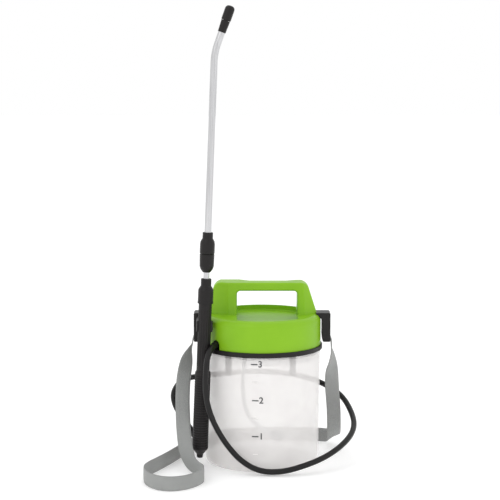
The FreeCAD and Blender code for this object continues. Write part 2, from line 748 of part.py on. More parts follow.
def make_motor():
    can = common(
        along_x("motor_radius", MOTOR_LEFT, "motor_length"),
        block(40, 40, "motor_height", at(MOTOR_LEFT - 5, SHAFT_Y - 20, SHAFT_Z - size("motor_height") / 2)),
    )
    nose = along_x("3.0", MOTOR_LEFT - 1.4, 2.0)
    bore = along_x("1.06", MOTOR_LEFT - 4, 40.0)
    ways = [cylinder("1.2", 3.2, at(MOTOR_LEFT + size("motor_length") - 0.4, SHAFT_Y + dy, SHAFT_Z, X_AXIS)) for dy in (-6, 6)]
    piece(cut(fuse(can, nose, *ways), bore), "motor")
    bed_low, bed_high = size("plate_high"), SHAFT_Z - size("motor_height") / 2
    bed = block(20, 18, bed_high - bed_low, at(MOTOR_LEFT + 3, SHAFT_Y - 9, bed_low))
    band_out = block(6, 24.6, 18.0, at(MOTOR_LEFT + 9, SHAFT_Y - 12.3, bed_low))
    band_in = common(
        along_x("motor_radius + 0.05", MOTOR_LEFT, 25),
        block(40, 40, "motor_height + 0.1", at(MOTOR_LEFT - 5, SHAFT_Y - 20, SHAFT_Z - size("motor_height") / 2 - 0.05)),
    )
    tabs = block(6, 36, 1.6, at(MOTOR_LEFT + 9, SHAFT_Y - 18, bed_low))
    tab_holes = [cylinder("1.05", 9, at(0, SHAFT_Y + side * 15.2, bed_low - 2)) for side in (LEFT, RIGHT)]
    piece(cut(fuse(bed, band_out, tabs), fuse(band_in, *tab_holes)), "motor_bracket")
    piece(fuse(*[flat_screw(MOTOR_LEFT + 12, SHAFT_Y + side * 15.2, bed_low + 1.6, (0, 0, -1), 2.2, 1.0, 3.4)
                 for side in (LEFT, RIGHT)]), "bracket_screws")


make_pump()
make_rotor()
make_motor()

# the barb under the plate that the suction tube is pushed onto
barb = cut(
    fuse(cylinder("3.4", 2.6, at(INLET[0], INLET[1], size("plate_low") - 0.1)),
         cylinder("5.2", 2.0, at(INLET[0], INLET[1], size("plate_low") - 2.1)),
         cylinder("3.0", 6.0, at(INLET[0], INLET[1], size("plate_low") - 8.0))),
    cylinder("1.5", 30, at(INLET[0], INLET[1], 165)),
)
piece(barb, "suction_barb")
BARB_END = size("plate_low") - 8.0

# a soft duckbill that lets air into the tank
piece(fuse(cylinder("2.15", 3.2, at(28.0, 34.0, size("plate_low") - 0.3)),
           cylinder("3.6", 1.0, at(28.0, 34.0, size("plate_high"))),
           block(3.2, 1.2, 5.0, at(26.4, 33.4, size("plate_low") - 5.0))), "vent_valve")

# ---------------------------------------------------------------- strap lugs


def make_lug(side, label):
    """A hook-shaped lug with a slot across its foot for the webbing."""
    inner, outer = f"{side} * lug_inner", f"{side} * lug_outer"
    body = new_body()
    hook = pad_in(body, "XZ_Plane", [
        (f"{side} * (lug_inner - 8.5)", "lug_top"),
        (f"{side} * (lug_outer - 1.6)", "lug_top"),
        (outer, "lug_top - 1.6"),
        (outer, "lug_low + 1.2"),
        (f"{side} * (lug_outer - 1.2)", "lug_low"),
        (f"{side} * (lug_inner + 1.6)", "lug_low"),
        (f"{side} * (lug_inner + 0.6)", "lug_low + 2"),
        (inner, "lug_low + 9"),
        (inner, "lug_top - 10.5"),
        (f"{side} * (lug_inner - 3.0)", "lug_top - 6.2"),
        (f"{side} * (lug_inner - 8.5)", "lug_top - 4.4"),
    ], "lug_width", midplane=True)
    round_in(body, hook, "1.5", lambda e, m: abs(m.x) > size("lug_outer") - 0.05 and abs(abs(m.y) - size("lug_width") / 2) < 0.01 and e.Length > 20)
    slot = block(30, "strap_width + 2.4", "lug_slot",
                 at(side * 92 - 15, -(size("strap_width") + 2.4) / 2, size("lug_low") + size("lug_bar")))
    return piece(cut(cut(body, slot), fuse(shell, form)), label)


make_lug(LEFT, "strap_lug_left")
make_lug(RIGHT, "strap_lug_right")

# ---------------------------------------------------------------- wand

lean = Rotation(Vector(0, 1, 0), size("wand_lean"))
wand_foot = Vector(size("wand_foot_left"), size("wand_foot_front"), size("wand_foot_height"))


def on_wand(distance=0.0):
    return Placement(wand_foot + lean.multVec(Vector(0, 0, distance)), lean)


def patterned(body, original, direction, length, occurrences):
    pattern = body.newObject("PartDesign::LinearPattern", "repeat")
    pattern.Originals = [original]
    pattern.Direction = direction
    pattern.Length = length
    pattern.Occurrences = occurrences
    body.Tip = pattern
    return pattern


RIB_PITCH = 3.5
RIB_COUNT = 29


def make_sleeve():
    """The ribbed rubber sleeve, with a plain seam down its front and back."""
    body = new_body()
    revolve_in(body, [
        ("stem_radius", "sleeve_low"),
        ("sleeve_radius", "sleeve_low"),
        ("sleeve_radius - 0.1", "sleeve_high - 3"),
        ("stem_radius + 0.9", "sleeve_high"),
        ("stem_radius", "sleeve_high"),
    ])
    sketch = sketch_in(body, "XZ_Plane", [
        ("sleeve_radius - 0.9", "sleeve_low + 2.2"),
        ("sleeve_radius + 1", "sleeve_low + 2.2"),
        ("sleeve_radius + 1", "sleeve_low + 3.6"),
        ("sleeve_radius - 0.9", "sleeve_low + 3.6"),
    ])
    groove = body.newObject("PartDesign::Groove", "rib_gap")
    groove.Profile = sketch
    groove.ReferenceAxis = (sketch, ["V_Axis"])
    groove.Angle = 360
    doc.recompute()
    z_axis = [f for f in body.Origin.OriginFeatures if f.Role == "Z_Axis"][0]
    patterned(body, groove, (z_axis, [""]), RIB_PITCH * (RIB_COUNT - 1), RIB_COUNT)
    seams = [block(1.6, 2, 200, Placement(Vector(-0.8, y, 0), Rotation())) for y in (-size("sleeve_radius") - 1.2, size("sleeve_radius") - 0.8)]
    return piece(cut(body, fuse(*seams)), "grip_sleeve", on_wand())


make_sleeve()


def make_stem():
    """The grip's stem: plain under the sleeve, fluted above it."""
    body = new_body()
    revolve_in(body, [
        ("stem_bore", "sleeve_low"),
        ("stem_radius", "sleeve_low"),
        ("stem_radius", "stem_high"),
        ("stem_bore", "stem_high"),
    ])
    flutes = []
    for i in range(14):
        x, y = on_circle(size("stem_radius") + 0.7, 360 / 14 * (i + 0.5))
        flutes.append(cylinder("1.3", 78, at(x, y, size("sleeve_high") + 8)))
    return piece(cut(body, fuse(*flutes)), "wand_stem", on_wand())


make_stem()

turned_piece("wand_tail", [
    ("stem_bore - 1.6", "sleeve_low"),
    ("sleeve_radius - 0.1", "sleeve_low"),
    ("sleeve_radius - 0.3", "sleeve_low - 2"),
    ("4.6", "sleeve_low - 9.5"),
    ("4.1", "sleeve_low - 14.2"),
    ("2.6", "sleeve_low - 14.8"),
    ("0", "sleeve_low - 14.8"),
    ("0", "sleeve_low - 9"),
    ("1.9", "sleeve_low - 9"),
], on_wand())

turned_piece("collar_nut", [
    ("inner_tube_radius + 0.3", "collar_low + 5"),
    ("stem_radius + 0.05", "collar_low + 5"),
    ("stem_radius + 0.05", "collar_low"),
    ("collar_radius + 0.3", "collar_low"),
    ("collar_radius + 0.3", "collar_low + 3"),
    ("collar_radius", "collar_low + 3.3"),
    ("collar_radius", "collar_low + 18.5"),
    ("collar_radius - 0.8", "collar_low + 20.5"),
    ("collar_nose", "collar_high - 9.8"),
    ("collar_nose", "collar_high - 0.5"),
    ("collar_nose - 0.5", "collar_high"),
    ("inner_tube_radius + 0.3", "collar_high"),
], on_wand())

turned_piece("inner_tube", [
    ("inner_tube_radius - 0.6", "inner_tube_low"),
    ("inner_tube_radius", "inner_tube_low"),
    ("inner_tube_radius", "inner_tube_high"),
    ("inner_tube_radius - 0.6", "inner_tube_high"),
], on_wand())

# the guide in the stem that centres the inner tube and stops it pulling out
turned_piece("stem_guide", [
    ("inner_tube_radius", "inner_tube_low + 2"),
    ("stem_bore", "inner_tube_low + 2"),
    ("stem_bore", "inner_tube_low + 12"),
    ("inner_tube_radius", "inner_tube_low + 12"),
], on_wand())
turned_piece("tube_seal", [
    ("inner_tube_radius", "inner_tube_high - 6"),
    ("outer_tube_radius - outer_tube_wall - 0.06", "inner_tube_high - 6"),
    ("outer_tube_radius - outer_tube_wall - 0.06", "inner_tube_high - 3"),
    ("inner_tube_radius", "inner_tube_high - 3"),
], on_wand())

turned_piece("lock_nut", [
    ("inner_tube_radius + 0.15", "lock_low"),
    ("inner_tube_radius + 0.9", "lock_low"),
    ("lock_radius - 3.6", "lock_low + 1.6"),
    ("lock_radius - 1.6", "lock_low + 4.6"),
    ("lock_radius - 0.3", "lock_low + 8.6"),
    ("lock_radius", "lock_split - 0.8"),
    ("lock_radius - 0.5", "lock_split - 0.2"),
    ("inner_tube_radius + 3.2", "lock_split - 0.2"),
    ("inner_tube_radius + 3.2", "lock_split - 8"),
    ("inner_tube_radius + 0.15", "lock_split - 8"),
], on_wand())

turned_piece("lock_body", [
    ("outer_tube_radius", "lock_split + 4.4"),
    ("inner_tube_radius + 0.15", "lock_split + 4.4"),
    ("inner_tube_radius + 0.15", "lock_split - 7"),
    ("inner_tube_radius + 2.8", "lock_split - 7"),
    ("inner_tube_radius + 2.8", "lock_split + 0.4"),
    ("lock_radius - 0.4", "lock_split + 0.4"),
    ("lock_radius + 0.1", "lock_split + 1.2"),
    ("lock_radius + 0.1", "lock_split + 14"),
    ("lock_radius - 0.6", "lock_split + 17.5"),
    ("collar_nose", "lock_split + 21.5"),
    ("collar_nose", "lock_high - 0.4"),
    ("collar_nose - 0.4", "lock_high"),
    ("outer_tube_radius", "lock_high"),
], on_wand())


def make_outer_tube():
    """The aluminium tube, drawn along its centre line: straight, bent, straight."""
    start, bend, turn = size("outer_tube_low"), size("bend_radius"), math.radians(size("bend_turn"))
    last = size("tube_end_run")
    path = fresh("Sketcher::SketchObject")
    path.Placement = Placement(Vector(0, 0, 0), Rotation(Vector(1, 0, 0), 90))
    low, high = Vector(0, start, 0), Vector(0, size("bend_start"), 0)
    middle = Vector(bend, high.y, 0)
    end = Vector(bend - bend * math.cos(turn), high.y + bend * math.sin(turn), 0)
    tip = end + Vector(math.sin(turn), math.cos(turn), 0) * last
    path.addGeometry(Part.LineSegment(low, high))
    path.addGeometry(Part.ArcOfCircle(Part.Circle(middle, Vector(0, 0, 1), bend), math.pi - turn, math.pi))
    path.addGeometry(Part.LineSegment(end, tip))
    for first, first_end, second, second_end in ((0, 2, 1, 2), (1, 1, 2, 1)):
        path.addConstraint(Sketcher.Constraint("Tangent", first, first_end, second, second_end))
    rules = (
        (("PointOnObject", 0, 1, -2), None),
        (("Vertical", 0), None),
        (("DistanceY", -1, 1, 0, 1, start), "outer_tube_low"),
        (("DistanceY", -1, 1, 0, 2, high.y), "bend_start"),
        (("Radius", 1, bend), "bend_radius"),
        (("Distance", 2, last), "tube_end_run"),
        (("Angle", 2, math.pi / 2 - turn), None),
    )
    for rule, alias in rules:
        index = path.addConstraint(Sketcher.Constraint(*rule))
        if alias:
            path.setExpression(f"Constraints[{index}]", formula(alias))
    sweeps = []
    for text in ("outer_tube_radius", "outer_tube_radius - outer_tube_wall"):
        section = fresh("Sketcher::SketchObject")
        section.Placement = at(0, 0, start)
        index = section.addGeometry(Part.Circle(Vector(0, 0, 0), Vector(0, 0, 1), 5))
        section.addConstraint(Sketcher.Constraint("Coincident", index, 3, -1, 1))
        rule = section.addConstraint(Sketcher.Constraint("Radius", index, 5.0))
        section.setExpression(f"Constraints[{rule}]", formula(text))
        doc.recompute()
        sweep = fresh("Part::Sweep")
        sweep.Sections = [section]
        sweep.Spine = (path, [f"Edge{i + 1}" for i in range(3)])
        sweep.Solid = True
        sweep.Frenet = False
        sweeps.append(sweep)
    return piece(cut(*sweeps), "outer_tube", on_wand()), tip


outer_tube, tube_tip = make_outer_tube()
nozzle_turn = Rotation(Vector(0, 1, 0), size("bend_turn"))
nozzle_base = Vector(tube_tip.x, 0, tube_tip.y) - nozzle_turn.multVec(Vector(0, 0, 8.0))
on_nozzle = on_wand().multiply(Placement(nozzle_base, nozzle_turn))

turned_piece("nozzle_body", [
    ("outer_tube_radius", "0"),
    ("nozzle_foot_radius", "0"),
    ("nozzle_radius - 0.5", "nozzle_split - 0.2"),
    ("3.4", "nozzle_split - 0.2"),
    ("3.4", "nozzle_split + 6"),
    ("1.6", "nozzle_split + 6"),
    ("1.6", 8.1),
    ("outer_tube_radius", 8.1),
], on_nozzle)
turned_piece("nozzle_cap", [
    ("3.7", "nozzle_split + 0.2"),
    ("nozzle_radius - 0.3", "nozzle_split + 0.2"),
    ("nozzle_radius", "nozzle_split + 1"),
    ("nozzle_radius", "nozzle_length - 4.6"),
    ("nozzle_radius - 0.5", "nozzle_length - 2.8"),
    ("nozzle_radius - 1.7", "nozzle_length - 1.2"),
    ("nozzle_radius - 3.4", "nozzle_length - 0.3"),
    ("nozzle_radius - 5.2", "nozzle_length"),
    ("0.5", "nozzle_length"),
    ("0.5", "nozzle_length - 2.4"),
    ("3.7", "nozzle_length - 4.4"),
], on_nozzle)
turned_piece("swirl_core", [
    ("0", "nozzle_split + 6.3"),
    ("2.9", "nozzle_split + 6.3"),
    ("2.9", "nozzle_split + 12"),
    ("1.4", "nozzle_split + 14.6"),
    ("0", "nozzle_split + 14.6"),
], on_nozzle)

# ---------------------------------------------------------------- wand clip on the left lug

CLIP_MIDDLE = 178.0


def make_clip():
    """A spring clip round the back of the stem, with an arm to the left lug."""
    seat = on_wand(CLIP_MIDDLE)
    ring = cylinder("stem_radius + 2.2", 15, seat)
    hole = cylinder("stem_radius + 0.05", 30, on_wand(CLIP_MIDDLE - 5))
    mouth = block(40, 24, 30)
    mouth.Placement = seat.multiply(Placement(Vector(-20, -27.5, -5), Rotation()))
    centre = seat.Base
    arm = block(9, 40, 13)
    arm.Placement = Placement(Vector(centre.x - 11.5, centre.y + 6, centre.z + 1), Rotation())
    lug_bar = block(40, "lug_width", 80, at(-size("lug_outer") - 20, -size("lug_width") / 2, 150))
    lid_room = cylinder("cover_radius + 0.4", 60, at(0, 0, 165))
    return piece(cut(fuse(ring, arm), fuse(hole, mouth, lug_bar, lid_room)), "wand_clip")


make_clip()

# ---------------------------------------------------------------- cords: tubes of straight runs and tangent arcs


def route_edges(points):
    """Straight runs joined by arcs, each as large as its two runs allow; returns the edges and the radii."""
    spots = [Vector(*p) for p in points]
    edges, radii, start = [], [], spots[0]
    for before, corner, after in zip(spots, spots[1:], spots[2:]):
        back, on = before - corner, after - corner
        half = (math.pi - back.getAngle(on)) / 2
        reach = 0.45 * min(back.Length, on.Length)
        radius = reach / math.tan(half)
        first = corner + back.normalize() * reach
        last = corner + on.normalize() * reach
        toward = (back + on).normalize()
        middle = corner + toward * (radius / math.cos(half) - radius)
        edges.append(Part.LineSegment(start, first).toShape())
        edges.append(Part.Arc(first, middle, last).toShape())
        radii.append(radius)
        start = last
    edges.append(Part.LineSegment(start, spots[-1]).toShape())
    return edges, radii


def make_tube(label, points, radius, bore=0.0):
    """A cord's plain solid, swept along its route; prints what it measures."""
    edges, radii = route_edges(points)
    wire = Part.Wire(edges)
    direction = wire.Edges[0].tangentAt(wire.Edges[0].FirstParameter)
    ring = Part.Wire([Part.Circle(Vector(*points[0]), direction, radius).toShape()])
    solid = wire.makePipeShell([ring], True, False, 2)
    tube = fresh("Part::Feature")
    tube.Shape = solid
    expected = math.pi * radius ** 2 * wire.Length
    print(f"{label}: {wire.Length:.0f} mm long, volume {tube.Shape.Volume / expected:.3f} of section times length, "
          f"radii in diameters {[round(r / radius / 2, 1) for r in radii]}")
    return piece(tube, label)


SUCTION_ROUTE = [
    (-24, -10, 171.5), (-24.4, -10.2, 146), (-26.5, -10, 120), (-27, -9, 95), (-23, -8, 73),
    (-14, -6.5, 56), (-1, -6, 45), (12, -6, 39),
]
make_tube("suction_tube", SUCTION_ROUTE, size("suction_radius"))

filter_way = Vector(13, 0, -6).normalize()
filter_place = Placement(Vector(12, -6, 39), Rotation(Vector(0, 0, 1), filter_way))
turned_piece("suction_filter", [
    ("0", "0"), ("3.6", "0"), ("3.6", 3), (6.4, 4.4), (6.9, 6), (6.9, 16.5), (6.2, 18), ("0", 18),
], filter_place)

DELIVERY_ROUTE = [
    (-26.0, -22.6, 191.2), (-27.5, -33.0, 191.4), (-37.0, -41.0, 192.4), (-50.0, -44.5, 192.6),
    (outlet_at(-9).x, outlet_at(-9).y, 190.5), (outlet_at(-9).x, outlet_at(-9).y, 182.0),
]
make_tube("delivery_tube", DELIVERY_ROUTE, 2.2)


def make_outlet():
    """The elbow that carries the water out through the skirt, and the rubber sleeve round the hose."""
    way = tuple(OUTLET_DIRECTION)
    elbow, below = outlet_at(-9), 4.5
    upright = cylinder("4.2", 12.0, at(elbow.x, elbow.y, OUTLET_HEIGHT - below))
    stub = fuse(cylinder("4.2", 6.0, at(*elbow, way)), cylinder("2.5", 10.0, at(*elbow, way)))
    bores = fuse(cylinder("1.5", 20.0, at(*elbow, way)), cylinder("1.5", 20.0, at(*elbow)))
    piece(cut(fuse(upright, stub), bores), "hose_fitting")
    sleeve = bind(fresh("Part::Cone"), Radius1="5.0", Radius2="4.7", Height=10.5)
    sleeve.Placement = at(*outlet_at(-2.5), way)
    hollow = fuse(cylinder("2.5", 4.0, at(*outlet_at(-3), way)), cylinder("hose_radius", 12.0, at(*outlet_at(1), way)))
    piece(cut(sleeve, hollow), "hose_sleeve")


make_outlet()

ELBOW_MIDDLE = on_wand(4.6).Base
ELBOW_END = Vector(-87.4, -45.4, 20.6)
HOSE_ROUTE = [
    tuple(outlet_at(1)), tuple(outlet_at(14)), (-76.0, -76.6, 164.0), (-79.4, -80.8, 149.0),
    (-80.4, -81.6, 131.0), (-78.4, -81.0, 108.0), (-72.4, -80.6, 85.0),
    (-62.6, -80.6, 62.0), (-47.5, -82.0, 38.0), (-28.0, -86.5, 17.5), (-3.0, -92.0, 5.2), (28.0, -93.0, 5.2),
    (57.0, -89.0, 12.5), (84.0, -79.5, 21.0), (107.0, -61.0, 31.0), (126.5, -33.0, 44.0), (134.5, -3.0, 54.0),
    (131.0, 28.0, 65.0), (118.0, 53.0, 79.0), (98.0, 68.0, 91.0), (72.0, 81.0, 100.0), (42.0, 91.0, 104.5), (8.0, 97.0, 107.0),
    (-30.0, 94.0, 107.0), (-66.0, 80.0, 106.0), (-95.0, 57.0, 108.0), (-119.0, 33.0, 107.0), (-131.5, 14.0, 94.0),
    (-128.0, 0.0, 78.0), (-114.0, -8.0, 63.0), (-100.5, -15.0, 47.0), (-91.5, -26.0, 31.0),
    tuple(ELBOW_END + Vector(-1.0, 9.0, 2.0)), tuple(ELBOW_END),
]
make_tube("spray_hose", HOSE_ROUTE, size("hose_radius"))


def make_elbow():
    """The fitting at the wand's tail that turns the hose backwards."""
    way = (ELBOW_END + Vector(-1.0, 9.0, 2.0)) - ELBOW_END
    way.normalize()
    start = ELBOW_END - way * 6.6
    return piece(cut(cylinder("4.4", 6.6, at(*start, tuple(way))), nodes_by_name("wand_tail")), "hose_elbow")


def nodes_by_name(label):
    return [n for n in nodes if n.Label == label][0]


make_elbow()

# ---------------------------------------------------------------- shoulder strap


def flat_face(corners):
    return Part.Face(Part.makePolygon(corners + corners[:1]))


def make_strap():
    """The webbing as a band: each point of its route has the direction that its width lies in."""
    stations = []
    spots = [Vector(*p[:3]) for p in STRAP_ROUTE]
    widths = [Vector(*p[3:]).normalize() for p in STRAP_ROUTE]
    for i, spot in enumerate(spots):
        if i in (0, len(spots) - 1):
            stations.append((spot, widths[i]))
            continue
        before, after = spots[i - 1] - spot, spots[i + 1] - spot
        reach = 0.45 * min(before.Length, after.Length)
        ends = (spot + before.normalize() * reach, spot + after.normalize() * reach)
        for share in (0.0, 0.5, 1.0):
            bend = ends[0] * (1 - share) ** 2 + spot * (2 * share * (1 - share)) + ends[1] * share ** 2
            lean_back, lean_on = max(0, 0.275 - 0.55 * share), max(0, 0.55 * share - 0.275)
            stations.append((bend, widths[i - 1] * lean_back + widths[i] + widths[i + 1] * lean_on))
    rings = []
    half_width, half_thick = size("strap_width") / 2, size("strap_thick") / 2
    for i, (spot, width) in enumerate(stations):
        low, high = stations[max(0, i - 1)][0], stations[min(len(stations) - 1, i + 1)][0]
        along = (high - low).normalize()
        across = (width - along * width.dot(along)).normalize()
        out = along.cross(across)
        rings.append([
            spot + across * (u * half_width) + out * (v * half_thick) for u, v in ((-1, -1), (1, -1), (1, 1), (-1, 1))
        ])
    faces = [flat_face(rings[0]), flat_face(rings[-1])]
    for near, far in zip(rings, rings[1:]):
        for i in range(4):
            j = (i + 1) % 4
            faces += [flat_face([near[i], near[j], far[j]]), flat_face([near[i], far[j], far[i]])]
    sewn = Part.makeShell(faces)
    sewn.sewShape()
    band = fresh("Part::Feature")
    band.Shape = Part.makeSolid(sewn)
    long = sum((a[0] - b[0]).Length for a, b in zip(stations, stations[1:]))
    share = abs(band.Shape.Volume) / (long * 4 * half_width * half_thick)
    print(f"shoulder_strap: {long:.0f} mm long, volume {share:.3f} of section times length")
    return piece(band, "shoulder_strap")


STRAP_ROUTE = [
    # x, y, z, then the direction of the width
    (-89.0, 0.0, 179.8, 0, 1, 0), (-97.2, 0.0, 179.4, 0, 1, 0), (-98.0, 0.0, 168.0, 0, 1, 0),
    (-101.5, -2.0, 160.0, 0.3, 1, 0), (-107.0, -9.0, 142.0, 0.9, 0.6, 0), (-110.5, -20.0, 121.0, 1, 0.2, 0),
    (-111.5, -34.0, 98.0, 1, 0, 0), (-110.5, -49.0, 74.0, 1, 0, 0), (-108.5, -63.0, 50.0, 1, 0, 0.1),
    (-105.0, -75.0, 29.0, 1, -0.1, 0.4), (-98.0, -86.0, 15.0, 0.6, -0.2, 1), (-87.0, -98.0, 10.8, 0, 0, 1),
    (-79.0, -113.0, 10.4, 0, 0, 1), (-80.0, -131.0, 10.4, 0, 0, 1), (-89.0, -150.0, 10.4, 0, 0, 1),
    (-104.0, -166.0, 10.4, 0, 0, 1), (-123.0, -172.5, 10.4, 0, 0, 1), (-142.0, -164.0, 10.4, 0, 0, 1),
    (-156.0, -143.0, 10.4, 0, 0, 1), (-161.5, -118.0, 10.4, 0, 0, 1), (-157.5, -97.0, 10.4, 0, 0, 1),
    (-146.0, -73.0, 10.4, 0, 0, 1), (-132.0, -41.0, 10.4, 0, 0, 1), (-119.0, -6.0, 10.4, 0, 0, 1),
    (-106.0, 30.0, 10.4, 0, 0, 1), (-86.0, 66.0, 10.4, 0, 0, 1), (-55.0, 92.0, 10.4, 0, 0, 1),
    (-18.0, 104.0, 10.4, 0, 0, 1), (22.0, 105.0, 10.4, 0, 0, 1), (56.0, 103.5, 10.4, 0, 0, 1),
    (84.0, 100.0, 10.6, 0.1, 0.1, 1), (101.0, 91.0, 13.0, 0.5, 0.3, 0.8), (107.0, 77.0, 25.0, 0.9, 0, 0.4),
    (107.0, 63.0, 46.0, 1, 0, 0.1), (105.0, 47.0, 72.0, 1, 0, 0), (102.5, 32.0, 97.0, 1, 0, 0),
    (100.5, 18.0, 121.0, 0.9, 0.4, 0), (99.5, 7.0, 142.0, 0.5, 0.9, 0), (98.6, 1.5, 156.0, 0.1, 1, 0),
    (98.0, 0.0, 168.0, 0, 1, 0), (97.2, 0.0, 179.4, 0, 1, 0), (89.0, 0.0, 179.8, 0, 1, 0),
]
make_strap()

# ---------------------------------------------------------------- checks and files

doc.recompute()
for item in doc.Objects:
    if {"Invalid", "Error"} & set(item.State):
        raise RuntimeError(f"{item.Name} ({item.Label}) has failed")
os.makedirs("parts", exist_ok=True)
for item in nodes:
    shape = item.Shape
    if shape.isNull() or not shape.isValid() or not shape.Solids:
        raise RuntimeError(f"{item.Label} has no valid solid")
for item in nodes:
    item.Shape.exportStep(f"parts/{item.Label}.step")
    print(f"{item.Label}: {len(item.Shape.Solids)} solids, {item.Shape.Volume / 1000:.2f} cm3")
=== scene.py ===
# %% [markdown]
# A battery sprayer with a shoulder strap. The hard pieces come from the CAD frame and stay as they are. This script
# gives every piece its finish, lays the hose and the webbing strap as smooth lines, prints the litre scale on the
# tank, and sets up the camera and the light. Positions are in metres, in the frame of the CAD.

# %% The frame
import json
import math

import bmesh
import bpy
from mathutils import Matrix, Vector


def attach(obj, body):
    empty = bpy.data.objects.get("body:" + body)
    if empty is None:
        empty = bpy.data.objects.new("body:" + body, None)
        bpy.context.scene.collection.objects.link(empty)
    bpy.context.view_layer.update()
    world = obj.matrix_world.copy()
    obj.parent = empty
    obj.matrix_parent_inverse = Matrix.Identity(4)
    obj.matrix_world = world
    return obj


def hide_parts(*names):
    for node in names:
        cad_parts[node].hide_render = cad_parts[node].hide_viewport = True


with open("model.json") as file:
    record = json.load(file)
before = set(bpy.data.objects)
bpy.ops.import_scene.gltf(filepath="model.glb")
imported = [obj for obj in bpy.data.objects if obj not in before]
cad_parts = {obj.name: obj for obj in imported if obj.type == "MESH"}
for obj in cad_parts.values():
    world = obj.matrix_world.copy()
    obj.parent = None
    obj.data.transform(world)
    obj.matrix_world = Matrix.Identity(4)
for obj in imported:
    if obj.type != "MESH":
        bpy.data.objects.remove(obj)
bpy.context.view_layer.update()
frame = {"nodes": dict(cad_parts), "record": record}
nodes = frame["nodes"]
print("nodes:", len(nodes))

# %% [markdown]
# The camera stands about two metres in front of the tank at the height of the wand's nozzle, and looks slightly
# down. A long lens keeps the tall wand upright, as a catalogue view does.

# %% Camera
CAMERA_PLACE = (-0.017, -2.140, 0.562)
CAMERA_LENS, CAMERA_DOWN = 110.45, 6.98  # millimetres and degrees
scene = bpy.context.scene
camera_data = bpy.data.cameras.new("product_camera")
camera_data.lens = CAMERA_LENS
camera_data.sensor_width = 36
camera_data.clip_end = 60
camera = bpy.data.objects.new("product_camera", camera_data)
scene.collection.objects.link(camera)
camera.location = CAMERA_PLACE
camera.rotation_euler = (math.radians(90 - CAMERA_DOWN), 0, 0)
scene.camera = camera

# %% [markdown]
# The spray hose is one smooth line from the cover's notch to the elbow at the wand's foot: down past the grip, in
# front of the tank just above the ground, round its right side and back behind it. A NURBS curve with a round bevel
# is the natural tool, because it has no corners. Order and end points are set after the points.

# %% Spray hose
HOSE_RADIUS = 0.004
HOSE_ROUTE = [
    (-0.06435, -0.05332, 0.1744), (-0.06890, -0.06550, 0.1744),
    (-0.0748, -0.0766, 0.1640), (-0.0768, -0.0808, 0.1490),
    (-0.0780, -0.0816, 0.1310), (-0.0774, -0.0810, 0.1080), (-0.0724, -0.0806, 0.0850), (-0.0626, -0.0806, 0.0620),
    (-0.0475, -0.0820, 0.0380), (-0.0280, -0.0865, 0.0175), (-0.0030, -0.0920, 0.0052), (0.0280, -0.0930, 0.0052),
    (0.0570, -0.0890, 0.0125), (0.0840, -0.0795, 0.0210), (0.1070, -0.0610, 0.0310), (0.1247, -0.0330, 0.0410),
    (0.1322, -0.0030, 0.0505), (0.1292, 0.0280, 0.0625), (0.1180, 0.0530, 0.0790), (0.0980, 0.0680, 0.0910),
    (0.0720, 0.0810, 0.1000), (0.0420, 0.0910, 0.1045), (0.0080, 0.0970, 0.1070), (-0.0300, 0.0940, 0.1070),
    (-0.0660, 0.0800, 0.1060), (-0.0950, 0.0570, 0.1080), (-0.1162, 0.0330, 0.1070), (-0.1275, 0.0140, 0.0940),
    (-0.1245, 0.0000, 0.0780), (-0.1140, -0.0080, 0.0630), (-0.1005, -0.0150, 0.0470), (-0.0915, -0.0260, 0.0310),
    (-0.0884, -0.0364, 0.0226), (-0.0874, -0.0454, 0.0206),
]


def smooth_line(name, route, radius=0.0):
    """A NURBS curve with the route as its control points; each point's radius scales a bevel of one metre.

    A curve's box is its points and their radii, so the real radius has to be in the points.
    """
    curve = bpy.data.curves.new(name, "CURVE")
    curve.dimensions = "3D"
    curve.resolution_u = 10
    spline = curve.splines.new("NURBS")
    spline.points.add(len(route) - 1)
    for point, place in zip(spline.points, route):
        point.co, point.radius = (*place[:3], 1), radius
    spline.order_u = 3
    spline.use_endpoint_u = True
    curve.bevel_depth = 1.0 if radius else 0.0
    curve.bevel_resolution = 5
    curve.use_fill_caps = True
    item = bpy.data.objects.new(name, curve)
    scene.collection.objects.link(item)
    return item


def line_points(route):
    """The points of the smooth line itself, read from a curve with no bevel."""
    item = smooth_line("measuring_line", route)
    mesh = bpy.data.meshes.new_from_object(item)
    points = [vertex.co.copy() for vertex in mesh.vertices]
    bpy.data.objects.remove(item)
    bpy.data.meshes.remove(mesh)
    return points


def length_of(points):
    return sum((a - b).length for a, b in zip(points, points[1:]))


hose = smooth_line("hose_line", HOSE_ROUTE, HOSE_RADIUS)
hose_length = length_of(line_points(HOSE_ROUTE))
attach(hose, "lid")
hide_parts("spray_hose")
print("hose length", round(hose_length, 3))

# %% [markdown]
# The strap is a woven band, 20 mm wide and 1.6 mm thick. It hangs from both lugs, stands on its edge on the ground
# in a loop at the left, and runs round behind the tank. It is a mesh made along a smooth line: at each point of the
# line the band has its own width direction, which turns slowly from one named direction to the next.

